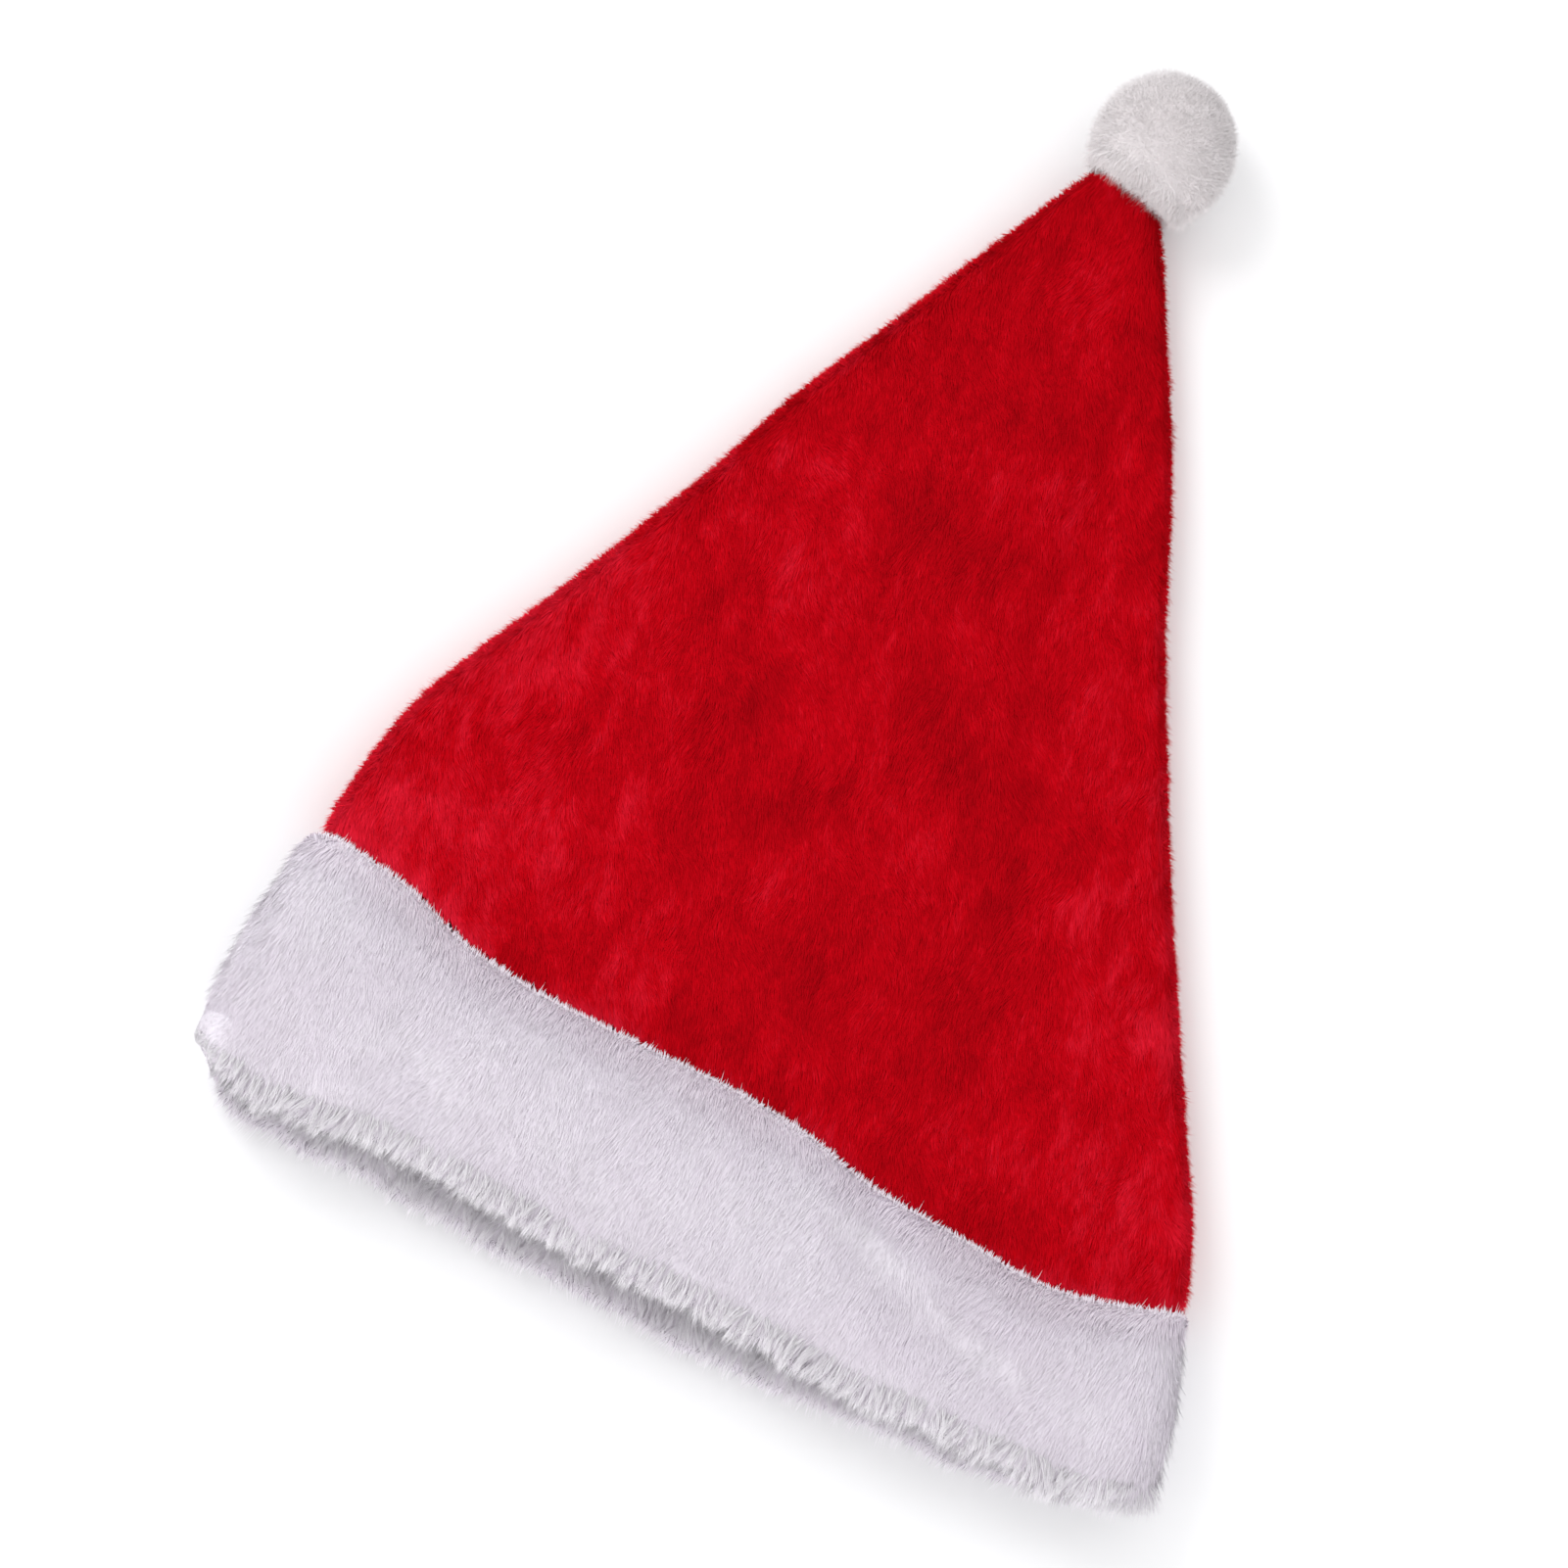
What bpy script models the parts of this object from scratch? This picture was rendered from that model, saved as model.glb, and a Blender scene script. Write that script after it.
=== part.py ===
"""A plush santa hat lying flat: a hollow red cone of two panels, a folded white cuff and a pompom.

X runs across the hat, Y from the head opening to the tip, and Z up. Sizes are in millimetres and
become metres when a mesh is made. Y is measured from the middle of the front layer's lower edge.
"""
import math
from collections import namedtuple

import bmesh
import bpy
from mathutils import Vector

METRES_PER_MM = 0.001

# Driving sizes
CROWN_WALL = 3.0
CLEARANCE = 0.35
TIP_END = 352.0
DOME_RISE = 3.0
CUFF_FOLD_REACH = 6.0
CUFF_LOCK_RELIEF = 1.3
CUFF_TUFT_LENGTH = 3.2
POMPOM_CENTRE = Vector((-1.2, 357.4, 19.6))
POMPOM_RADII = Vector((22.0, 24.6, 21.8))
POMPOM_SEAT_DISTANCE = 12.6
POMPOM_SEAT_TURN = math.radians(12.0)
POMPOM_SEAT_PRESS = 0.85
POMPOM_LOCK_DEPTH = 0.11
POMPOM_LOCKS = 620

# Steps of the meshes
CORNER_STEPS = 4
FRONT_FLAT_STEPS = 26
BACK_FLAT_STEPS = 14
CROWN_STEPS = 22
CUFF_FINENESS = 2
SOCKET_FLAT_STEPS = 4
SOCKET_FRACTIONS = (0.90, 0.935, 0.97, 1.0)

# Outline of the cone seen from above: the left and right edges at each distance along the hat
OutlineRow = namedtuple("OutlineRow", "along left right")
CROWN_OUTLINE = [OutlineRow(*row) for row in (
    (45.0, -145.0, 138.8),
    (60.0, -143.8, 134.4),
    (75.5, -141.8, 128.8),
    (105.0, -137.4, 114.0),
    (125.0, -131.6, 104.2),
    (145.0, -121.4, 94.2),
    (165.0, -110.4, 84.4),
    (205.0, -89.8, 66.2),
    (225.0, -79.9, 57.0),
    (245.0, -72.0, 49.6),
    (265.0, -61.2, 42.4),
    (285.0, -50.2, 34.0),
    (305.0, -39.6, 23.8),
    (325.0, -28.4, 14.2),
    (338.0, -21.4, 7.4),
    (345.0, -17.2, 3.4),
    (352.0, -11.5, -1.8),
)]

# Thickness of the flattened cone from the cuff seam (0) to the tip (1)
HeightRow = namedtuple("HeightRow", "fraction half_height middle dome")
CROWN_HEIGHTS = [HeightRow(*row) for row in (
    (0.00, 10.0, 15.0, 0.0),
    (0.05, 11.0, 14.2, 0.4),
    (0.12, 9.7, 11.4, 0.8),
    (0.25, 9.2, 9.3, 1.0),
    (0.45, 9.0, 8.9, 1.0),
    (0.65, 8.6, 8.4, 0.8),
    (0.80, 7.9, 7.8, 0.5),
    (0.89, 6.8, 9.6, 0.2),
    (0.95, 5.4, 13.4, 0.0),
    (1.00, 4.0, 17.6, 0.0),
)]

# Where the cuff is sewn on and where it ends, across the hat from left (-1) to right (1)
EdgeRow = namedtuple("EdgeRow", "across front_seam front_edge back_seam back_edge")
CUFF_EDGES = [EdgeRow(*row) for row in (
    (-1.00, 75.5, 5.0, 75.5, 5.0),
    (-0.95, 75.2, 0.5, 74.9, -1.5),
    (-0.78, 70.5, -0.5, 72.6, -4.8),
    (-0.64, 62.8, 1.0, 70.8, -5.4),
    (-0.47, 58.4, 0.3, 68.6, -7.6),
    (-0.25, 56.8, -3.0, 65.7, -10.5),
    (0.00, 55.3, -3.5, 62.5, -12.3),
    (0.17, 52.0, -5.5, 60.3, -13.8),
    (0.31, 46.2, -7.5, 58.5, -14.0),
    (0.52, 43.2, -9.0, 55.7, -12.6),
    (0.72, 40.3, -9.2, 53.1, -11.4),
    (0.88, 44.6, -10.2, 51.1, -10.2),
    (1.00, 49.5, -4.0, 49.5, -4.0),
)]

# The padded cuff from its seam (0) to the start of its lower fold (1)
BandRow = namedtuple("BandRow", "fraction left right wall inner_radius middle")
CUFF_BAND = [BandRow(*row) for row in (
    (0.00, -143.4, 138.9, 6.6, 5.2, 15.0),
    (0.10, -147.0, 140.6, 9.6, 5.4, 15.8),
    (0.25, -148.6, 142.8, 11.3, 5.6, 16.7),
    (0.50, -151.0, 146.2, 11.8, 5.7, 17.3),
    (0.75, -152.2, 148.7, 11.6, 5.8, 17.3),
    (1.00, -152.0, 149.6, 10.8, 5.9, 16.9),
)]
CUFF_OUTER_ROWS = (0.0, 0.06, 0.15, 0.27, 0.40, 0.53, 0.66, 0.79, 0.91)
CUFF_FOLD_ANGLES = (90, 55, 20, -20, -55, -90)
CUFF_INNER_ROWS = (0.72, 0.40, 0.0)

# Valleys (negative rise) and swells (positive rise) of the front panel, each round a short line
FoldRow = namedtuple("FoldRow", "x0 y0 x1 y1 reach rise")
CROWN_FOLDS = {
    "long_valley_top": FoldRow(20.7, 275.0, 24.4, 211.0, 7.5, -4.0),
    "long_valley_middle": FoldRow(24.4, 211.0, 39.5, 172.0, 8.0, -5.4),
    "long_valley_foot": FoldRow(39.5, 172.0, 45.9, 133.0, 8.5, -4.6),
    "seam_crease": FoldRow(60.2, 77.0, 85.0, 56.0, 8.5, -5.2),
    "left_seam_dent": FoldRow(-91.0, 82.0, -47.6, 85.0, 9.5, -3.6),
    "middle_seam_dent": FoldRow(-20.0, 79.0, -14.0, 80.0, 10.0, -2.8),
    "right_seam_dent": FoldRow(44.0, 67.0, 50.0, 66.0, 8.5, -2.8),
    "right_dent": FoldRow(100.0, 94.0, 109.0, 88.0, 10.0, -3.4),
    "right_edge_dent": FoldRow(116.0, 62.0, 121.0, 58.0, 9.0, -2.8),
    "upper_right_dent": FoldRow(53.0, 199.0, 58.0, 190.0, 8.5, -3.0),
    "upper_left_dent": FoldRow(-29.0, 220.0, -24.0, 227.0, 9.0, -2.8),
    "centre_dent": FoldRow(-2.0, 186.0, 2.0, 196.0, 9.5, -2.4),
    "left_swell": FoldRow(-56.0, 150.0, -34.0, 178.0, 22.0, 2.8),
    "right_swell": FoldRow(72.0, 120.0, 60.0, 150.0, 18.0, 2.4),
    "lower_swell": FoldRow(-5.0, 105.0, 22.0, 100.0, 20.0, 2.0),
    "upper_swell": FoldRow(-18.0, 235.0, -2.0, 262.0, 15.0, 2.0),
}
CUFF_FOLDS = {
    "crease_top": FoldRow(46.8, 37.0, 65.2, 26.0, 7.0, -3.4),
    "crease_foot": FoldRow(65.2, 26.0, 98.0, 16.0, 8.0, -3.0),
    "left_dent": FoldRow(-96.0, 33.0, -84.0, 31.0, 11.0, -2.2),
    "middle_dent": FoldRow(-38.0, 22.0, -28.0, 20.0, 10.0, -1.8),
}

FRONT = 1
BACK = -1
Section = namedtuple("Section", "centre half_width half_height middle")
Station = namedtuple("Station", "fraction angle")


def read_table(rows, column, at):
    """A column's value on a smooth curve through the table, at a place along its first column."""
    places = [row[0] for row in rows]
    values = [getattr(row, column) for row in rows]
    last = len(rows) - 1
    at = min(max(at, places[0]), places[last])
    index = max(i for i in range(last) if places[i] <= at)

    def slope(i):
        low = max(i - 1, 0)
        high = min(i + 1, last)
        return (values[high] - values[low]) / (places[high] - places[low])

    span = places[index + 1] - places[index]
    t = (at - places[index]) / span
    start_weight = 2 * t ** 3 - 3 * t ** 2 + 1
    start_slope_weight = t ** 3 - 2 * t ** 2 + t
    end_slope_weight = t ** 3 - t ** 2
    value = start_weight * values[index] + (1 - start_weight) * values[index + 1]
    return value + span * (start_slope_weight * slope(index) + end_slope_weight * slope(index + 1))


def ease(value):
    """A smooth step from 0 to 1."""
    value = min(max(value, 0.0), 1.0)
    return value * value * (3 - 2 * value)


def scatter(column, row):
    """A repeatable number from 0 to 1 for a place in a grid."""
    value = math.sin(column * 12.9898 + row * 78.233) * 43758.5453
    return value - math.floor(value)


def fold_rise(folds, x, y):
    """Height that the folds add at a place: the deepest valley and the highest swell that reach it."""
    valley = 0.0
    swell = 0.0
    place = Vector((x, y))
    for fold in folds.values():
        start = Vector((fold.x0, fold.y0))
        line = Vector((fold.x1, fold.y1)) - start
        share = min(max((place - start).dot(line) / line.length_squared, 0.0), 1.0)
        distance = (place - start - line * share).length
        rise = fold.rise * math.exp(-(distance / fold.reach) ** 2)
        valley = min(valley, rise)
        swell = max(swell, rise)
    return valley + swell


def face_stations(flat_steps, fineness=1):
    """Places across one face, from its left edge round a corner, over the flat and round again."""
    corner_steps = CORNER_STEPS * fineness
    flat_steps = flat_steps * fineness
    quarter = math.pi / 2
    turns = [quarter * (1 - step / corner_steps) for step in range(corner_steps)]
    left = [Station(-1.0, -turn) for turn in turns]
    flat = [Station(2 * step / flat_steps - 1, 0.0) for step in range(flat_steps + 1)]
    right = [Station(1.0, turn) for turn in reversed(turns)]
    return left + flat + right


def across_share(section, station):
    """How far across the section's outside a station lies, from -1 to 1."""
    reach = station.fraction * (section.half_width - section.half_height)
    return (reach + section.half_height * math.sin(station.angle)) / section.half_width


def section_point(section, station, face, depth):
    """X and Z of a place on a flattened ring, at a depth below its outer face."""
    radius = section.half_height - depth
    x = section.centre + station.fraction * (section.half_width - section.half_height)
    x += radius * math.sin(station.angle)
    z = section.middle + face * radius * math.cos(station.angle)
    return x, z


def crown_section(fraction):
    """The cone's section from the cuff seam (0) to the tip (1)."""
    left_along = CUFF_EDGES[0].front_seam * (1 - fraction) + TIP_END * fraction
    right_along = CUFF_EDGES[-1].front_seam * (1 - fraction) + TIP_END * fraction
    left = read_table(CROWN_OUTLINE, "left", left_along)
    right = read_table(CROWN_OUTLINE, "right", right_along)
    half_height = read_table(CROWN_HEIGHTS, "half_height", fraction)
    middle = read_table(CROWN_HEIGHTS, "middle", fraction)
    return Section((left + right) / 2, (right - left) / 2, half_height, middle)


def seam_share(station):
    """A station's place across the hat where the cone and the cuff are sewn together."""
    return across_share(crown_section(0.0), station)


def crown_point(fraction, station, face, depth):
    """A place in the cone's wall, with the folds, for a fraction of the way to the tip."""
    section = crown_section(fraction)
    x, z = section_point(section, station, face, depth)
    seam_column = "front_seam" if face == FRONT else "back_seam"
    seam = read_table(CUFF_EDGES, seam_column, seam_share(station))
    y = (seam + CLEARANCE) * (1 - fraction) + TIP_END * fraction
    z += face * CLEARANCE / 2
    if face == BACK:
        return Vector((x, y, max(z, depth)))
    edge_fade = math.cos(station.angle) ** 2
    end_fade = ease(fraction / 0.035) * ease((0.93 - fraction) / 0.1)
    across = across_share(section, station)
    z += DOME_RISE * read_table(CROWN_HEIGHTS, "dome", fraction) * (1 - across ** 2)
    z += fold_rise(CROWN_FOLDS, x, y) * edge_fade * end_fade
    return Vector((x, y, z))


def crown_fractions():
    """Places along the cone, closer together near the cuff, where the folds are short."""
    shares = [step / CROWN_STEPS for step in range(CROWN_STEPS + 1)]
    return [share * (0.75 + 0.25 * share) for share in shares]


def add_object(name, points, faces, material):
    """A closed mesh with its faces pointing out, from points in millimetres."""
    mesh = bpy.data.meshes.new(name)
    mesh.from_pydata([point * METRES_PER_MM for point in points], [], faces)
    builder = bmesh.new()
    builder.from_mesh(mesh)
    bmesh.ops.recalc_face_normals(builder, faces=builder.faces)
    builder.to_mesh(mesh)
    builder.free()
    mesh.shade_smooth()
    if material:
        mesh.materials.append(material)
    obj = bpy.data.objects.new(name, mesh)
    bpy.context.scene.collection.objects.link(obj)
    return obj


def make_crown_panel(name, face, flat_steps, material):
    """One sewn panel: an outer and an inner sheet, joined all round by its thin edges."""
    stations = face_stations(flat_steps)
    fractions = crown_fractions()
    columns = len(stations)
    rows = len(fractions)
    points = [crown_point(fraction, station, face, depth)
              for depth in (0.0, CROWN_WALL)
              for fraction in fractions
              for station in stations]

    def at(layer, row, column):
        return (layer * rows + row) * columns + column

    faces = []
    for layer in (0, 1):
        for row in range(rows - 1):
            for column in range(columns - 1):
                faces.append((at(layer, row, column), at(layer, row, column + 1),
                              at(layer, row + 1, column + 1), at(layer, row + 1, column)))
    for row in (0, rows - 1):
        for column in range(columns - 1):
            faces.append((at(0, row, column), at(0, row, column + 1),
                          at(1, row, column + 1), at(1, row, column)))
    for column in (0, columns - 1):
        for row in range(rows - 1):
            faces.append((at(0, row, column), at(0, row + 1, column),
                          at(1, row + 1, column), at(1, row, column)))
    return add_object(name, points, faces, material)


def cuff_section(fraction):
    """The outside of the cuff from its seam (0) to the start of its lower fold (1)."""
    left = read_table(CUFF_BAND, "left", fraction)
    right = read_table(CUFF_BAND, "right", fraction)
    wall = read_table(CUFF_BAND, "wall", fraction)
    half_height = wall + read_table(CUFF_BAND, "inner_radius", fraction)
    middle = read_table(CUFF_BAND, "middle", fraction)
    return Section((left + right) / 2, (right - left) / 2, half_height, middle), wall


def lock_height(column, row):
    """Share of a lock's full height at a place: 1 at its tip, which stands above the four beside it."""
    height = scatter(column, row)
    beside = ((column - 1, row), (column + 1, row), (column, row - 1), (column, row + 1))
    if height > max(scatter(*place) for place in beside):
        return 1.0
    return 0.4 * height


def cuff_profile(column, face, station):
    """Points round the cuff's padded wall at one place on the ring, from the seam and back to it."""
    share = seam_share(station)
    side = "front" if face == FRONT else "back"
    seam = read_table(CUFF_EDGES, side + "_seam", share)
    edge = read_table(CUFF_EDGES, side + "_edge", share)
    fold_start = edge + CUFF_FOLD_REACH
    edge_fade = math.cos(station.angle) ** 2

    def place(fraction, y, depth, folded):
        section, wall = cuff_section(fraction)
        x, z = section_point(section, station, face, depth)
        if face == FRONT and folded:
            z += fold_rise(CUFF_FOLDS, x, y) * edge_fade * ease(fraction / 0.15)
        return Vector((x, y, max(z, 0.0)))

    points = []
    for row, fraction in enumerate(CUFF_OUTER_ROWS):
        y = seam + (fold_start - seam) * fraction
        rests = face == BACK and abs(station.fraction) < 1
        smooth = rests or row < 2
        relief = 0.0 if smooth else CUFF_LOCK_RELIEF * (1 - lock_height(column, row))
        points.append(place(fraction, y, relief, True))
    wall = CUFF_BAND[-1].wall
    tuft = CUFF_TUFT_LENGTH * (lock_height(column, len(CUFF_OUTER_ROWS)) - 0.5) * edge_fade
    for angle in CUFF_FOLD_ANGLES:
        turn = math.radians(angle)
        depth = wall / 2 * (1 - math.sin(turn))
        y = fold_start - (CUFF_FOLD_REACH + tuft) * math.cos(turn)
        points.append(place(1.0, y, depth, False))
    for fraction in CUFF_INNER_ROWS:
        section, wall = cuff_section(fraction)
        y = seam + (fold_start - seam) * fraction
        points.append(place(fraction, y, wall, False))
    return points


def make_cuff(material):
    """The folded band as one ring: profiles over the front face, then back under the hat."""
    front = [(FRONT, station) for station in face_stations(FRONT_FLAT_STEPS, CUFF_FINENESS)]
    back = [(BACK, station) for station in face_stations(BACK_FLAT_STEPS, CUFF_FINENESS)]
    ring = front + back[-2:0:-1]
    points = []
    for column, (face, station) in enumerate(ring):
        points += cuff_profile(column, face, station)
    size = len(points) // len(ring)
    faces = []
    for column in range(len(ring)):
        after = (column + 1) % len(ring)
        for row in range(size):
            below = (row + 1) % size
            faces.append((column * size + row, column * size + below,
                          after * size + below, after * size + row))
    return add_object("cuff_band", points, faces, material)


def make_tip_cutter():
    """The cone's tip with its clearance, which hollows the pompom's socket."""
    stations = face_stations(SOCKET_FLAT_STEPS)
    ring = [(FRONT, station) for station in stations]
    ring += [(BACK, station) for station in reversed(stations[1:-1])]
    points = [crown_point(fraction, station, face, -CLEARANCE)
              for fraction in SOCKET_FRACTIONS
              for face, station in ring]
    size = len(ring)
    for point in points[-size:]:
        point.y += CLEARANCE
    faces = [tuple(range(size)), tuple(range(len(points) - size, len(points)))]
    for step in range(len(SOCKET_FRACTIONS) - 1):
        for column in range(size):
            after = (column + 1) % size
            faces.append((step * size + column, step * size + after,
                          (step + 1) * size + after, (step + 1) * size + column))
    cutter = add_object("tip_socket_cutter", points, faces, None)
    cutter.hide_render = True
    cutter.display_type = "WIRE"
    return cutter


def make_pompom(material, cutter):
    """A ball of locks: points spread evenly over a sphere, some of them the tips of locks.

    The side that faces the cone is pressed nearly flat, where the blunt tip is sewn to the ball.
    """
    to_seat = Vector((-math.sin(POMPOM_SEAT_TURN), -math.cos(POMPOM_SEAT_TURN), 0.0))
    golden_angle = math.pi * (3 - math.sqrt(5))
    directions = []
    for index in range(POMPOM_LOCKS):
        height = 1 - 2 * (index + 0.5) / POMPOM_LOCKS
        ring = math.sqrt(1 - height ** 2)
        turn = golden_angle * index
        directions.append(Vector((ring * math.cos(turn), ring * math.sin(turn), height)))
    builder = bmesh.new()
    for direction in directions:
        builder.verts.new(direction)
    bmesh.ops.convex_hull(builder, input=builder.verts)
    builder.verts.index_update()
    faces = [tuple(vertex.index for vertex in face.verts) for face in builder.faces]
    tips = set()
    points = []
    for index, vertex in enumerate(builder.verts):
        beside = {edge.other_vert(vertex).index for edge in vertex.link_edges}
        if tips & beside:
            depth = 1.0 - 0.3 * scatter(index, 1)
        else:
            tips.add(index)
            depth = 0.3 * scatter(index, 2)
        arm = vertex.co * POMPOM_RADII * (1 - POMPOM_LOCK_DEPTH * depth)
        past_seat = max(arm.dot(to_seat) - POMPOM_SEAT_DISTANCE, 0.0)
        point = POMPOM_CENTRE + arm - to_seat * past_seat * POMPOM_SEAT_PRESS
        points.append(Vector((point.x, point.y, max(point.z, 0.0))))
    builder.free()
    pompom = add_object("pompom", points, faces, material)
    socket = pompom.modifiers.new("tip_socket", "BOOLEAN")
    socket.operation = "DIFFERENCE"
    socket.solver = "EXACT"
    socket.object = cutter
    return pompom


def plush(name, colour, roughness, sheen):
    """A plain plush material."""
    material = bpy.data.materials.new(name)
    material.use_nodes = True
    shader = material.node_tree.nodes["Principled BSDF"]
    shader.inputs["Base Color"].default_value = (*colour, 1.0)
    shader.inputs["Roughness"].default_value = roughness
    shader.inputs["Metallic"].default_value = 0.0
    shader.inputs["Sheen Weight"].default_value = sheen
    return material


def stand_on_origin(objects):
    """Moves the hat so that the middle of its base is the origin."""
    corners = [vertex.co for obj in objects if not obj.hide_render for vertex in obj.data.vertices]
    low = Vector([min(corner[axis] for corner in corners) for axis in range(3)])
    high = Vector([max(corner[axis] for corner in corners) for axis in range(3)])
    base = Vector(((low.x + high.x) / 2, (low.y + high.y) / 2, low.z))
    for obj in objects:
        obj.location = -base


def main():
    for obj in list(bpy.data.objects):
        bpy.data.objects.remove(obj, do_unlink=True)
    red = plush("red_plush", (0.55, 0.004, 0.012), 0.85, 0.4)
    white = plush("white_plush", (0.75, 0.72, 0.78), 0.9, 0.3)
    cutter = make_tip_cutter()
    objects = [
        make_crown_panel("crown_front_panel", FRONT, FRONT_FLAT_STEPS, red),
        make_crown_panel("crown_back_panel", BACK, BACK_FLAT_STEPS, red),
        make_cuff(white),
        make_pompom(white, cutter),
        cutter,
    ]
    stand_on_origin(objects)


main()
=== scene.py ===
import itertools
import math
from collections import namedtuple

import bmesh
import bpy
import numpy as np
from mathutils import Matrix, Vector
from mathutils.bvhtree import BVHTree


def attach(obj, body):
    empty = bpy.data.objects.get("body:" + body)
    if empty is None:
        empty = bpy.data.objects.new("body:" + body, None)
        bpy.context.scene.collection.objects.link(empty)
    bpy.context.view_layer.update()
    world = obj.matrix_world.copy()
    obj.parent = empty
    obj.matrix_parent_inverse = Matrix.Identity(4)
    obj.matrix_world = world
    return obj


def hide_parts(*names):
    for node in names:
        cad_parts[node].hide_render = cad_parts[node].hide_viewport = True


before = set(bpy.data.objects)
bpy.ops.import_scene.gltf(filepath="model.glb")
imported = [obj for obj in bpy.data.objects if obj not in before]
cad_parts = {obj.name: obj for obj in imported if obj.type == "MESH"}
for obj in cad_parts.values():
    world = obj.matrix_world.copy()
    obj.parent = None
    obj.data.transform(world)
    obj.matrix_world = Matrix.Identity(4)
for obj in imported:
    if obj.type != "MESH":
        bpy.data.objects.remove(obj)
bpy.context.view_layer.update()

# The look of a plush santa hat lying flat: a smooth skin for each node, and the pile that grows on it.
# X runs across the hat, Y from the head opening to the tip, and Z up. All lengths are in metres.
MM = 0.001

# Camera: nearly straight above, turned so that the hat leans across the picture
CAMERA_TARGET = Vector((-0.0259, -0.04006, 0.010))
CAMERA_DISTANCE = 1.868
CAMERA_LENS = 150.0
CAMERA_ELEVATION = math.radians(80.0)
CAMERA_ROLL = math.radians(23.9)

# Where the cuff's front layer is sewn on and where it ends
SeamRow = namedtuple("SeamRow", "x seam edge")
CUFF_FRONT = [SeamRow(*row) for row in (
    (-0.1406, -0.1081, -0.1786),
    (-0.1100, -0.1131, -0.1841),
    (-0.0903, -0.1208, -0.1826),
    (-0.0665, -0.1252, -0.1833),
    (-0.0358, -0.1268, -0.1866),
    (-0.0009, -0.1283, -0.1871),
    (0.0229, -0.1316, -0.1891),
    (0.0424, -0.1374, -0.1911),
    (0.0718, -0.1404, -0.1926),
    (0.0997, -0.1433, -0.1928),
    (0.1221, -0.1390, -0.1938),
    (0.1388, -0.1341, -0.1876),
)]

# Kinds of pile. A strand is one flat blade or a fine cone of three sides. Rise is its angle from the
# skin in degrees, spread how far the nap turns from place to place in patches of the given size,
# clump how far neighbours draw together, and lift how far its shading is turned to the sky.
Pile = namedtuple("Pile", "strands sides length width rise spread patch clump clump_size lift")
PILES = {
    "red_front": Pile(270000, 1, 4.6 * MM, 0.40 * MM, 11, 0.45, 18 * MM, 0.12, 2.6 * MM, 0.3),
    "red_front_fuzz": Pile(14000, 3, 4.4 * MM, 0.24 * MM, 32, 0.60, 18 * MM, 0.45, 2.6 * MM, 0.3),
    "red_edge_fuzz": Pile(8000, 3, 3.4 * MM, 0.26 * MM, 46, 0.60, 9 * MM, 0.45, 2.2 * MM, 0.9),
    "red_seam": Pile(6000, 1, 4.0 * MM, 0.75 * MM, 12, 0.35, 9 * MM, 0.20, 2.6 * MM, 0.2),
    "red_back": Pile(52000, 1, 5.0 * MM, 0.80 * MM, 10, 0.40, 18 * MM, 0.12, 2.6 * MM, 0.0),
    "red_back_fuzz": Pile(5000, 3, 4.2 * MM, 0.26 * MM, 26, 0.60, 18 * MM, 0.35, 3.0 * MM, 0.0),
    "cuff_front": Pile(176000, 1, 7.0 * MM, 0.40 * MM, 8, 0.25, 22 * MM, 0.06, 4.5 * MM, 0.0),
    "cuff_front_fuzz": Pile(13000, 3, 5.5 * MM, 0.24 * MM, 28, 0.50, 22 * MM, 0.30, 4.0 * MM, 0.3),
    "cuff_edge_tufts": Pile(17000, 3, 8.0 * MM, 0.28 * MM, 44, 0.50, 7 * MM, 0.70, 3.6 * MM, 1.4),
    "cuff_strip_tufts": Pile(14000, 3, 8.0 * MM, 0.32 * MM, 52, 0.70, 7 * MM, 0.85, 3.2 * MM, 0.9),
    "cuff_rim": Pile(3000, 1, 3.2 * MM, 0.70 * MM, 12, 0.30, 9 * MM, 0.10, 3.0 * MM, 0.2),
    "cuff_back": Pile(44000, 1, 7.5 * MM, 0.80 * MM, 9, 0.25, 22 * MM, 0.08, 4.5 * MM, 0.0),
    "cuff_inside": Pile(34000, 1, 6.0 * MM, 0.70 * MM, 12, 0.25, 22 * MM, 0.10, 4.0 * MM, 0.0),
    "pompom": Pile(58000, 1, 4.2 * MM, 0.30 * MM, 8, 0.30, 12 * MM, 0.02, 3.0 * MM, 0.2),
    "pompom_fuzz": Pile(24000, 3, 3.4 * MM, 0.15 * MM, 55, 0.60, 12 * MM, 0.10, 3.0 * MM, 0.5),
    "pompom_joint": Pile(5500, 3, 5.8 * MM, 0.20 * MM, 40, 0.60, 12 * MM, 0.30, 3.0 * MM, 0.9),
}
SKIN_DEPTH = {
    "crown_front_panel": 0.8 * MM,
    "crown_back_panel": 0.8 * MM,
    "cuff_band": 1.4 * MM,
    "pompom": 0.8 * MM,
}
SKIN_LEVELS = 1
BETWEEN_LAYERS = 16 * MM
POMPOM_CENTRE = Vector((0.0, 0.1738, 0.0196))
POMPOM_SEAT = Vector((-0.208, -0.978, 0.0))
SEAT_RIM = 10.5 * MM
RED_NAP = Vector((0.30, -0.95, 0.0)).normalized()
CUFF_NAP = Vector((-0.10, -1.0, -0.2)).normalized()
DOWN = Vector((0.0, 0.0, -1.0))
FLOOR_CLEARANCE = 0.2 * MM

# A strand's place on its map: its tint across, and from root to tip upwards
MAP_MARGIN = 0.02
MAP_HALF_WIDTH = 0.008

Surface = namedtuple("Surface", "corners normals centres areas outer")
Roots = namedtuple("Roots", "points normals")
Texture = namedtuple("Texture", "node values")


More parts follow.
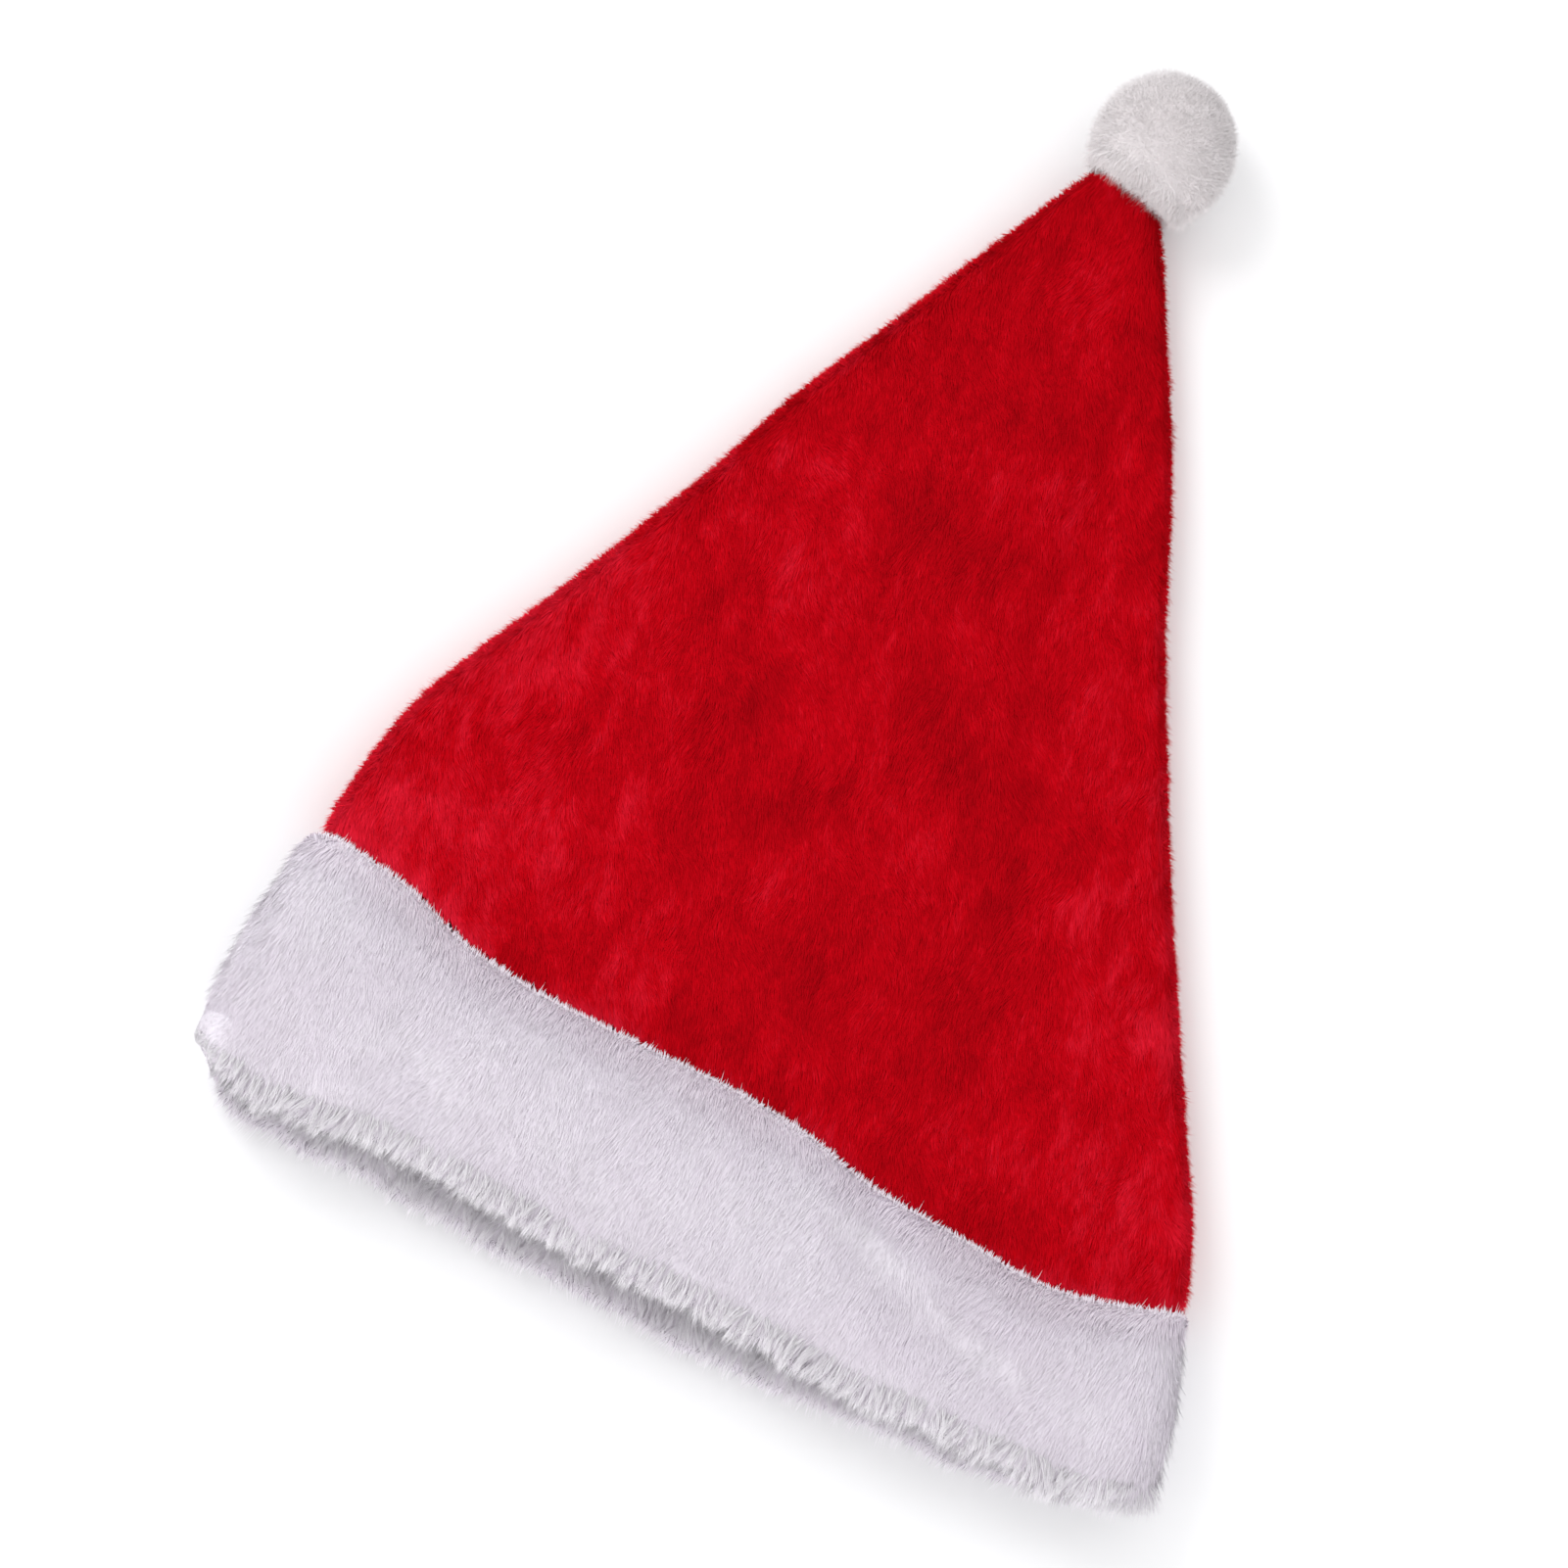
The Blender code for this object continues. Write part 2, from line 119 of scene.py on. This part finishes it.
def patch_noise(points, size, seed):
    """Smooth noise from -1 to 1 whose patches have the given size."""
    table = np.random.default_rng(seed).random((32, 32, 32))
    cells = points / size
    base = np.floor(cells).astype(int)
    share = cells - base
    share = share * share * (3 - 2 * share)
    total = np.zeros(len(points))
    for corner in itertools.product((0, 1), repeat=3):
        index = (base + corner) % 32
        weight = np.prod(np.where(corner, share, 1 - share), axis=1)
        total += weight * table[index[:, 0], index[:, 1], index[:, 2]]
    return 2 * total - 1


def unit(vectors):
    lengths = np.linalg.norm(vectors, axis=1, keepdims=True)
    return vectors / np.maximum(lengths, 1e-12)


def dots(first, second):
    return (first * second).sum(axis=1, keepdims=True)


def ease(value):
    """A smooth step from 0 to 1."""
    value = np.clip(value, 0.0, 1.0)
    return value * value * (3 - 2 * value)


def seam_place(points):
    """How far each point lies below the cuff's front seam, and how far from there to its edge."""
    places = [row.x for row in CUFF_FRONT]
    seam = np.interp(points[:, 0], places, [row.seam for row in CUFF_FRONT])
    edge = np.interp(points[:, 0], places, [row.edge for row in CUFF_FRONT])
    return seam - points[:, 1], (seam - points[:, 1]) / (seam - edge)


def facing(surface):
    """The way that each of the skin's triangles faces."""
    return surface.normals.mean(axis=1)


def hat_tree():
    """All nodes of the model as one searchable shape."""
    builder = bmesh.new()
    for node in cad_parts.values():
        builder.from_mesh(node.data)
    tree = BVHTree.FromBMesh(builder)
    builder.free()
    return tree


def make_skin(node_name, evening):
    """A smooth closed surface over a node of the model, with its lumps evened out that many times."""
    builder = bmesh.new()
    builder.from_mesh(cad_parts[node_name].data)
    bmesh.ops.remove_doubles(builder, verts=builder.verts, dist=1e-5)
    bmesh.ops.recalc_face_normals(builder, faces=builder.faces)
    bmesh.ops.join_triangles(builder, faces=builder.faces, angle_face_threshold=0.7,
                             angle_shape_threshold=0.7)
    mesh = bpy.data.meshes.new(node_name + "_skin")
    builder.to_mesh(mesh)
    builder.free()
    mesh.shade_smooth()
    skin = bpy.data.objects.new(node_name + "_skin", mesh)
    bpy.context.scene.collection.objects.link(skin)
    if evening:
        even = skin.modifiers.new("even", "SMOOTH")
        even.iterations = evening
    smooth = skin.modifiers.new("smooth", "SUBSURF")
    smooth.levels = SKIN_LEVELS
    smooth.render_levels = SKIN_LEVELS
    evaluated = skin.evaluated_get(bpy.context.evaluated_depsgraph_get())
    mesh = bpy.data.meshes.new_from_object(evaluated)
    skin.modifiers.clear()
    skin.data = mesh
    return skin


def vertex_arrays(mesh):
    """Vertex places and normals as arrays."""
    points = np.empty(len(mesh.vertices) * 3, np.float32)
    normals = np.empty(len(mesh.vertices) * 3, np.float32)
    mesh.vertices.foreach_get("co", points)
    mesh.vertices.foreach_get("normal", normals)
    return points.reshape(-1, 3).astype(float), normals.reshape(-1, 3).astype(float)


def faces_open(tree, place, normal):
    """Whether a face looks out of the hat: nothing is above, below, beside or in front of it."""
    least_lean = 0.08
    off_the_face = 1.2 * MM
    reach = 0.4
    ways = [normal]
    for axis in (Vector((0, 0, 1)), Vector((1, 0, 0))):
        lean = normal.dot(axis)
        if abs(lean) > least_lean:
            ways.append(axis * math.copysign(1, lean))
    start = place + normal * off_the_face
    return any(tree.ray_cast(start, way, reach)[0] is None for way in ways)


def sink(points, normals, depth, sewn):
    """Places moved in by the depth of the pile, but not away from the side that is sewn on."""
    inward = normals * depth
    inward[..., 1] = np.where(inward[..., 1] * sewn > 0, 0.0, inward[..., 1])
    places = points - inward
    places[..., 2] = np.maximum(places[..., 2], depth * 0.3)
    return places


def prepare_skin(node, sewn, tree, outer_material, inner_material, evening=0):
    """A node's skin with its materials, and its triangles as arrays for the pile to grow from."""
    skin = make_skin(node, evening)
    mesh = skin.data
    mesh.materials.append(outer_material)
    mesh.materials.append(inner_material)
    face_open = np.array([faces_open(tree, face.center, face.normal) for face in mesh.polygons])
    mesh.polygons.foreach_set("material_index", np.where(face_open, 0, 1).astype(np.int32))
    points, normals = vertex_arrays(mesh)
    points = sink(points, normals, SKIN_DEPTH[node], sewn)
    mesh.vertices.foreach_set("co", points.astype(np.float32).ravel())
    mesh.update()
    mesh.calc_loop_triangles()
    index = np.empty(len(mesh.loop_triangles) * 3, np.int32)
    mesh.loop_triangles.foreach_get("vertices", index)
    index = index.reshape(-1, 3)
    face = np.empty(len(index), np.int32)
    mesh.loop_triangles.foreach_get("polygon_index", face)
    corners = points[index]
    across = np.cross(corners[:, 1] - corners[:, 0], corners[:, 2] - corners[:, 0])
    areas = np.linalg.norm(across, axis=1) / 2
    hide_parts(node)
    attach(skin, "root")
    return skin, Surface(corners, normals[index], corners.mean(axis=1), areas, face_open[face])


def pick_roots(surface, chosen, count, rng):
    """Places spread evenly over the chosen triangles, with the skin's normal at each."""
    order = np.flatnonzero(chosen)
    rows = np.round(surface.centres[order, 1], 2)
    order = order[np.lexsort((surface.centres[order, 0], rows))]
    total = np.cumsum(surface.areas[order])
    picks = (np.arange(count) + rng.random(count)) / count * total[-1]
    faces = order[np.minimum(np.searchsorted(total, picks), len(order) - 1)]
    first = np.sqrt(rng.random(count))
    second = rng.random(count)
    shares = np.stack([1 - first, first * (1 - second), first * second], axis=1)[:, :, None]
    points = (surface.corners[faces] * shares).sum(axis=1)
    return Roots(points, unit((surface.normals[faces] * shares).sum(axis=1)))


def nearest_clumps(points, size, seed):
    """The nearest of a scattered set of clump middles to each point, one middle to a cell."""
    table = np.random.default_rng(seed).random((32, 32, 32, 3))
    base = np.floor(points / size).astype(int)
    best = np.full(len(points), np.inf)
    middles = np.zeros_like(points)
    for step in itertools.product((-1, 0, 1), repeat=3):
        cell = base + step
        index = cell % 32
        middle = (cell + table[index[:, 0], index[:, 1], index[:, 2]]) * size
        distance = ((middle - points) ** 2).sum(axis=1)
        closer = distance < best
        best[closer] = distance[closer]
        middles[closer] = middle[closer]
    return middles


def strand_courses(pile, roots, nap, middles, rng):
    """Each strand's way along the skin, its way as it rises from the skin, and its full length."""
    points, normals = roots
    count = len(points)
    along = unit(nap - normals * dots(nap, normals))
    swing = 1.3 * patch_noise(points, pile.patch, 3) + 0.6 * patch_noise(points, pile.patch / 3, 4)
    swing += 0.5 * patch_noise(middles, pile.clump_size * 1.3, 5)
    swing = (pile.spread * swing + rng.normal(0, 0.10, count))[:, None]
    along = along * np.cos(swing) + np.cross(normals, along) * np.sin(swing)
    uneven = 0.3 * patch_noise(points, pile.patch * 0.7, 6)
    rise = np.radians(pile.rise * (1 + uneven + rng.normal(0, 0.2, count)))[:, None]
    way = along * np.cos(rise) + normals * np.sin(rise)
    length = 1 + 0.15 * patch_noise(middles, pile.clump_size * 1.5, 8) + rng.normal(0, 0.12, count)
    return along, way, pile.length * length


def strand_roots(pile, roots, way, rng):
    """The corners at each strand's root, and the corners that its faces join. The last is its tip."""
    points, normals = roots
    across = unit(np.cross(way, normals))
    half = pile.width / 2 * rng.uniform(0.8, 1.2, len(points))[:, None]
    if pile.sides == 1:
        return [points - across * half, points + across * half], [(0, 1, 2)]
    above = np.cross(across, way)
    ring = [points + (above * math.cos(turn) + across * math.sin(turn)) * half
            for turn in (math.pi / 3, math.pi, -math.pi / 3)]
    return ring, [(0, 1, 3), (1, 2, 3), (2, 0, 3)]


def strand_map(tint, corners):
    """Map places for each strand's corners: across by its tint, and up from its root to its tip."""
    tint = np.clip(tint, 0.0, 1.0)
    tint[:2] = (0.0, 1.0)
    beside = np.array([-1, 1] + [0] * (corners - 2)) * MAP_HALF_WIDTH
    u = MAP_MARGIN + (1 - 2 * MAP_MARGIN) * tint[:, None] + beside[None]
    v = np.tile(np.array([MAP_MARGIN] * (corners - 1) + [1 - MAP_MARGIN]), (len(tint), 1))
    return np.stack([u, v], axis=2).reshape(-1, 2)


def grow_pile(name, kind, roots, nap, tint, material, rng, trim=1.0):
    """One joined mesh of tapering strands. Trim is the share of its full length that each one has."""
    pile = PILES[kind]
    points, normals = roots
    count = len(points)
    middles = nearest_clumps(points, pile.clump_size, 7)
    along, way, length = strand_courses(pile, roots, nap, middles, rng)
    to_clump = middles - points
    to_clump -= normals * dots(to_clump, normals)
    tips = points + way * (length * trim)[:, None] + to_clump * pile.clump
    tips[:, 2] = np.maximum(tips[:, 2], FLOOR_CLEARANCE)
    ring, faces = strand_roots(pile, roots, way, rng)
    corners = len(ring) + 1
    places = np.stack(ring + [tips], axis=1).reshape(-1, 3)
    places[:, 2] = np.maximum(places[:, 2], FLOOR_CLEARANCE / 2)
    triangles = np.arange(count)[:, None, None] * corners + np.array(faces)[None]
    sky = np.array((0.0, 0.0, pile.lift)) * (normals[:, 2:] > -0.3)
    shading = unit(normals + sky - along * 0.10 + rng.normal(0, 0.03, (count, 3)))
    piece = add_strands(name, places, triangles.reshape(-1, 3), np.repeat(shading, corners, axis=0),
                        strand_map(tint, corners), material)
    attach(piece, "root")
    return piece


def add_strands(name, places, triangles, shading, uv, material):
    """A mesh object from arrays of places, triangles, normals and map coordinates."""
    mesh = bpy.data.meshes.new(name)
    mesh.vertices.add(len(places))
    mesh.vertices.foreach_set("co", places.astype(np.float32).ravel())
    mesh.loops.add(triangles.size)
    mesh.loops.foreach_set("vertex_index", triangles.astype(np.int32).ravel())
    mesh.polygons.add(len(triangles))
    mesh.polygons.foreach_set("loop_start", np.arange(0, triangles.size, 3, dtype=np.int32))
    mesh.update(calc_edges=True)
    mesh.shade_smooth()
    layer = mesh.uv_layers.new(name="OFBake")
    layer.uv.foreach_set("vector", np.clip(uv[triangles.ravel()], 0, 1).astype(np.float32).ravel())
    mesh.normals_split_custom_set_from_vertices(shading.astype(np.float32))
    mesh.materials.append(material)
    piece = bpy.data.objects.new(name, mesh)
    bpy.context.scene.collection.objects.link(piece)
    return piece


def red_tint(points, rng):
    """Soft red mottling in streaks along the nap, a painted highlight by the cuff and painted sheen at
    the sides.
    """
    streak = points * np.array((1.0, 0.4, 1.0))
    below = seam_place(points)[0]
    # Painted highlight: the red pile is lighter in a band a few millimetres wide above the cuff's
    # seam.
    painted_seam_highlight = np.exp(-(np.maximum(-below, 0) / (4.5 * MM)) ** 2)
    painted_seam_highlight *= 0.8 + 0.4 * patch_noise(points, 25 * MM, 14)
    mottle = 0.14 * patch_noise(points, 22 * MM, 11) + 0.13 * patch_noise(streak, 5 * MM, 12)
    fine = 0.13 * patch_noise(streak, 1.5 * MM, 13)
    # Painted sheen: the red pile is lighter towards the hat's left and right sides.
    middle = 0.36 + 0.20 * (points[:, 0] / 0.1) ** 2
    return middle + mottle + fine + 0.60 * painted_seam_highlight + rng.normal(0, 0.07, len(points))


def white_tint(points, rng):
    """Faint clouding of the white pile."""
    mottle = 0.12 * patch_noise(points, 26 * MM, 21) + 0.07 * patch_noise(points, 7 * MM, 22)
    return 0.5 + mottle + rng.normal(0, 0.05, len(points))


def same_nap(nap, roots):
    return np.tile(np.array(nap), (len(roots.points), 1))


def dress_crown(tree, materials):
    """Both red panels: padded cloth with its pile combed towards the cuff, and over the side seams."""
    rng = np.random.default_rng(1)
    for panel, over_seam in (("front", DOWN), ("back", -DOWN)):
        skin, surface = prepare_skin(f"crown_{panel}_panel", -1, tree, materials["red_skin"],
                                     materials["red_backing"])
        edge = surface.outer & (np.abs(facing(surface)[:, 2]) < 0.7)
        layers = [
            (f"red_{panel}", surface.outer, RED_NAP),
            (f"red_{panel}_fuzz", surface.outer, RED_NAP),
            ("red_seam", edge, over_seam),
        ]
        if panel == "front":
            layers.append(("red_edge_fuzz", edge, RED_NAP))
        for kind, chosen, nap in layers:
            name = kind if panel in kind else f"{kind}_{panel}"
            roots = pick_roots(surface, chosen, PILES[kind].strands, rng)
            # Painted sheen: the red pile is lighter where the skin slopes steeply, at the hat's sides.
            painted_sheen_share = 1 - np.abs(roots.normals[:, 2])
            tint = red_tint(roots.points, rng) + 0.20 * painted_sheen_share
            left = roots.points[:, 0] < 0
            for side, half in (("left", left), ("right", ~left)):
                part = Roots(roots.points[half], roots.normals[half])
                grow_pile(f"{name}_{side}_pile", kind, part, same_nap(nap, part),
                                       tint[half], materials["red_pile"], rng)


def cuff_layers(surface):
    """The cuff's kinds of pile: where each one grows, its material, and the painted light that
    lightens its tint.
    """
    outer = surface.outer
    towards = facing(surface)
    up = towards[:, 2] > -0.25
    below, share = seam_place(surface.centres)
    high = surface.centres[:, 2] > BETWEEN_LAYERS
    front_fold = outer & (share > 0.86) & (towards[:, 1] < -0.15) & high
    back_strip = (share > 0.84) & (towards[:, 2] > 0.2) & ~high
    rim = outer & (towards[:, 1] > 0.35) & (below < 5 * MM)
    inside = ~outer & (surface.centres[:, 1] < -0.150) & (below > 8 * MM)
    # The last value is painted light: the tufts of the front fold and the strip, and the pile inside,
    # are lighter to make up for the shade they lie in.
    return (
        ("cuff_front", outer & up, "white_pile", 0.0),
        ("cuff_front_fuzz", outer & up & (below > 5 * MM), "white_pile", 0.0),
        ("cuff_edge_tufts", front_fold, "white_tufts", 0.3),
        ("cuff_strip_tufts", back_strip, "white_tufts", 0.1),
        ("cuff_rim", rim, "white_pile", 0.0),
        ("cuff_back", outer & ~up, "white_pile", 0.0),
        ("cuff_inside", inside, "white_pile", 0.4),
    )


def comb_cuff(roots, rng):
    """The cuff's nap, and how far its pile is trimmed at the seam and at the lower left corner."""
    below, share = seam_place(roots.points)
    at_seam = 1 - ease(below / (4 * MM))
    turned = rng.random(len(at_seam)) < 0.12 * at_seam
    nap = same_nap(CUFF_NAP, roots) * np.where(turned, -1.0, 1.0)[:, None]
    at_corner = ease((-roots.points[:, 0] - 0.130) / 0.014) * ease((share - 0.70) / 0.15)
    return nap, (1 - 0.70 * at_seam) * (1 - 0.85 * at_corner)


def comb_rim(roots):
    """The rim's nap, over the gap to the red cloth: down from the front layer and up from the back."""
    high = roots.points[:, 2:] > BETWEEN_LAYERS
    return np.where(high, np.array(DOWN), -np.array(DOWN)), 1.0


def dress_cuff(tree, materials):
    """The white band: long soft pile over its front, its folds and its underside."""
    rng = np.random.default_rng(2)
    skin, surface = prepare_skin("cuff_band", 1, tree, materials["white_skin"],
                                 materials["white_skin"])
    for kind, chosen, material, painted_light in cuff_layers(surface):
        roots = pick_roots(surface, chosen, PILES[kind].strands, rng)
        below = seam_place(roots.points)[0]
        # Painted shade: the white pile is darker within about 10 mm below the seam to the red.
        tint = white_tint(roots.points, rng) + painted_light - 0.35 * (1 - ease(below / (10 * MM)))
        if material == "white_tufts":
            tint += rng.normal(0, 0.25, len(tint))
        nap, trim = comb_rim(roots) if kind == "cuff_rim" else comb_cuff(roots, rng)
        grow_pile(kind + "_pile", kind, roots, nap, tint, materials[material], rng, trim)


def dress_pompom(tree, materials):
    """The white ball, with its pile every way, and over the cone's tip where it is sewn on."""
    rng = np.random.default_rng(3)
    skin, surface = prepare_skin("pompom", 0, tree, materials["white_skin"],
                                 materials["white_skin"], evening=6)
    centre = np.array(POMPOM_CENTRE)
    to_seat = np.array(POMPOM_SEAT)
    seat = (surface.centres - centre) @ to_seat > SEAT_RIM
    for kind, chosen in (("pompom", surface.outer), ("pompom_fuzz", surface.outer),
                         ("pompom_joint", seat)):
        roots = pick_roots(surface, chosen, PILES[kind].strands, rng)
        combed = ease(((roots.points - centre) @ to_seat - 7 * MM) / (5 * MM))[:, None]
        nap = rng.normal(0, 1, (len(roots.points), 3)) + 3.0 * combed * to_seat
        grow_pile(kind + "_pile", kind, roots, nap, white_tint(roots.points, rng),
                  materials["pompom_pile"], rng)


def new_material(name, roughness, gloss, sheen, sheen_tint):
    material = bpy.data.materials.new(name)
    material.use_nodes = True
    shader = material.node_tree.nodes["Principled BSDF"]
    shader.inputs["Roughness"].default_value = roughness
    shader.inputs["Specular IOR Level"].default_value = gloss
    shader.inputs["Sheen Weight"].default_value = sheen
    shader.inputs["Sheen Roughness"].default_value = 0.45
    shader.inputs["Sheen Tint"].default_value = (*sheen_tint, 1.0)
    return material, shader


def strand_material(name, dark, middle, light, root_shade, gloss, sheen, sheen_tint):
    """Pile coloured by each strand's own tint, and shaded towards its root."""
    material, shader = new_material(name, 0.75, gloss, sheen, sheen_tint)
    nodes = material.node_tree.nodes
    links = material.node_tree.links
    place = nodes.new("ShaderNodeUVMap")
    place.uv_map = "OFBake"
    split = nodes.new("ShaderNodeSeparateXYZ")
    links.new(place.outputs["UV"], split.inputs["Vector"])
    tints = nodes.new("ShaderNodeValToRGB")
    tints.color_ramp.elements.new(0.5)
    for stop, colour in zip(tints.color_ramp.elements, (dark, middle, light)):
        stop.color = (*colour, 1.0)
    links.new(split.outputs["X"], tints.inputs["Fac"])
    depth = nodes.new("ShaderNodeMapRange")
    depth.inputs["To Min"].default_value = root_shade
    depth.inputs["To Max"].default_value = 1.0
    depth.inputs["From Max"].default_value = 0.7
    links.new(split.outputs["Y"], depth.inputs["Value"])
    shade = nodes.new("ShaderNodeVectorMath")
    shade.operation = "SCALE"
    links.new(tints.outputs["Color"], shade.inputs[0])
    links.new(depth.outputs["Result"], shade.inputs["Scale"])
    links.new(shade.outputs["Vector"], shader.inputs["Base Color"])
    return material


def cloth_material(name, dark, light, texture, height):
    """Cloth whose colour and relief both follow one fine texture."""
    material, shader = new_material(name, 0.9, 0.02, 0.1, light)
    nodes = material.node_tree.nodes
    links = material.node_tree.links
    place = nodes.new("ShaderNodeTexCoord")
    grain = nodes.new(texture.node)
    for socket, value in texture.values.items():
        grain.inputs[socket].default_value = value
    links.new(place.outputs["Object"], grain.inputs["Vector"])
    mix = nodes.new("ShaderNodeMix")
    mix.data_type = "RGBA"
    mix.inputs["A"].default_value = (*dark, 1.0)
    mix.inputs["B"].default_value = (*light, 1.0)
    links.new(grain.outputs["Fac"], mix.inputs["Factor"])
    links.new(mix.outputs["Result"], shader.inputs["Base Color"])
    bump = nodes.new("ShaderNodeBump")
    bump.inputs["Strength"].default_value = 0.4
    bump.inputs["Distance"].default_value = height
    links.new(grain.outputs["Fac"], bump.inputs["Height"])
    links.new(bump.outputs["Normal"], shader.inputs["Normal"])
    return material


def make_materials():
    short_pile = Texture("ShaderNodeTexNoise", {"Scale": 900.0, "Detail": 4.0})
    knit = Texture("ShaderNodeTexWave", {"Scale": 260.0, "Distortion": 6.0, "Detail Scale": 8.0})
    return {
        "red_pile": strand_material(
            "red_pile", dark=(0.32, 0.0005, 0.004), middle=(0.59, 0.001, 0.007),
            light=(0.88, 0.018, 0.048), root_shade=0.92, gloss=0.02, sheen=0.04,
            sheen_tint=(1.0, 0.08, 0.12)),
        "white_pile": strand_material(
            "white_pile", dark=(0.75, 0.68, 0.75), middle=(0.84, 0.79, 0.86),
            light=(0.93, 0.91, 0.95), root_shade=1.02, gloss=0.10, sheen=0.15,
            sheen_tint=(1.0, 0.98, 1.0)),
        "white_tufts": strand_material(
            "white_tufts", dark=(0.70, 0.65, 0.70), middle=(0.84, 0.80, 0.86),
            light=(0.97, 0.95, 0.98), root_shade=0.76, gloss=0.10, sheen=0.15,
            sheen_tint=(1.0, 0.98, 1.0)),
        "pompom_pile": strand_material(
            "pompom_pile", dark=(0.88, 0.80, 0.81), middle=(0.93, 0.88, 0.89),
            light=(0.98, 0.95, 0.96), root_shade=1.00, gloss=0.10, sheen=0.15,
            sheen_tint=(1.0, 0.97, 0.97)),
        "red_skin": cloth_material(
            "red_skin", dark=(0.52, 0.003, 0.010), light=(0.64, 0.006, 0.016),
            texture=short_pile, height=0.5 * MM),
        "red_backing": cloth_material(
            "red_backing", dark=(0.36, 0.003, 0.010), light=(0.60, 0.010, 0.022),
            texture=knit, height=0.3 * MM),
        "white_skin": cloth_material(
            "white_skin", dark=(0.80, 0.77, 0.84), light=(0.90, 0.88, 0.94),
            texture=short_pile, height=0.5 * MM),
    }


def make_camera():
    """The camera, at the photographed angle. Gives the directions to its right and its top."""
    forward = Vector((0.0, math.cos(CAMERA_ELEVATION), -math.sin(CAMERA_ELEVATION)))
    ahead = Vector((0.0, math.sin(CAMERA_ELEVATION), math.cos(CAMERA_ELEVATION)))
    side = Vector((1.0, 0.0, 0.0))
    right = side * math.cos(CAMERA_ROLL) + ahead * math.sin(CAMERA_ROLL)
    up = ahead * math.cos(CAMERA_ROLL) - side * math.sin(CAMERA_ROLL)
    data = bpy.data.cameras.new("camera")
    data.lens = CAMERA_LENS
    data.sensor_width = 36.0
    data.clip_end = 20.0
    camera = bpy.data.objects.new("camera", data)
    turn = Matrix((right, up, -forward)).transposed()
    place = Matrix.Translation(CAMERA_TARGET - forward * CAMERA_DISTANCE)
    camera.matrix_world = place @ turn.to_4x4()
    bpy.context.scene.collection.objects.link(camera)
    bpy.context.scene.camera = camera
    return right, up


def add_light(name, towards, distance, size, power):
    """A large soft light that shines on the hat."""
    data = bpy.data.lights.new(name, "AREA")
    data.shape = "DISK"
    data.size = size
    data.energy = power
    light = bpy.data.objects.new(name, data)
    towards = Vector(towards).normalized()
    light.location = CAMERA_TARGET + towards * distance
    light.rotation_euler = towards.to_track_quat("Z", "Y").to_euler()
    bpy.context.scene.collection.objects.link(light)


def make_stage(right, up):
    """A plain pale floor, 8 m wide, and soft studio light."""
    mesh = bpy.data.meshes.new("floor")
    half = 4.0
    mesh.from_pydata([(-half, -half, 0), (half, -half, 0), (half, half, 0), (-half, half, 0)],
                     [], [(0, 1, 2, 3)])
    material, shader = new_material("floor", 0.9, 0.0, 0.0, (1.0, 1.0, 1.0))
    shader.inputs["Base Color"].default_value = (0.93, 0.93, 0.94, 1.0)
    mesh.materials.append(material)
    floor = bpy.data.objects.new("floor", mesh)
    bpy.context.scene.collection.objects.link(floor)
    world = bpy.data.worlds.new("studio")
    world.use_nodes = True
    world.node_tree.nodes["Background"].inputs["Color"].default_value = (1.0, 1.0, 1.0, 1.0)
    world.node_tree.nodes["Background"].inputs["Strength"].default_value = 0.97
    bpy.context.scene.world = world
    add_light("key", Vector((0.0, 0.0, 0.9)) + up * 0.75 - right * 0.6,
              distance=1.6, size=0.9, power=9.0)
    add_light("fill", Vector((0.0, 0.0, 0.45)) - up * 0.9, distance=1.8, size=1.0, power=10.0)
    bpy.context.scene.view_settings.view_transform = "Standard"


def main():
    right, up = make_camera()
    make_stage(right, up)
    materials = make_materials()
    tree = hat_tree()
    dress_crown(tree, materials)
    dress_cuff(tree, materials)
    dress_pompom(tree, materials)


main()
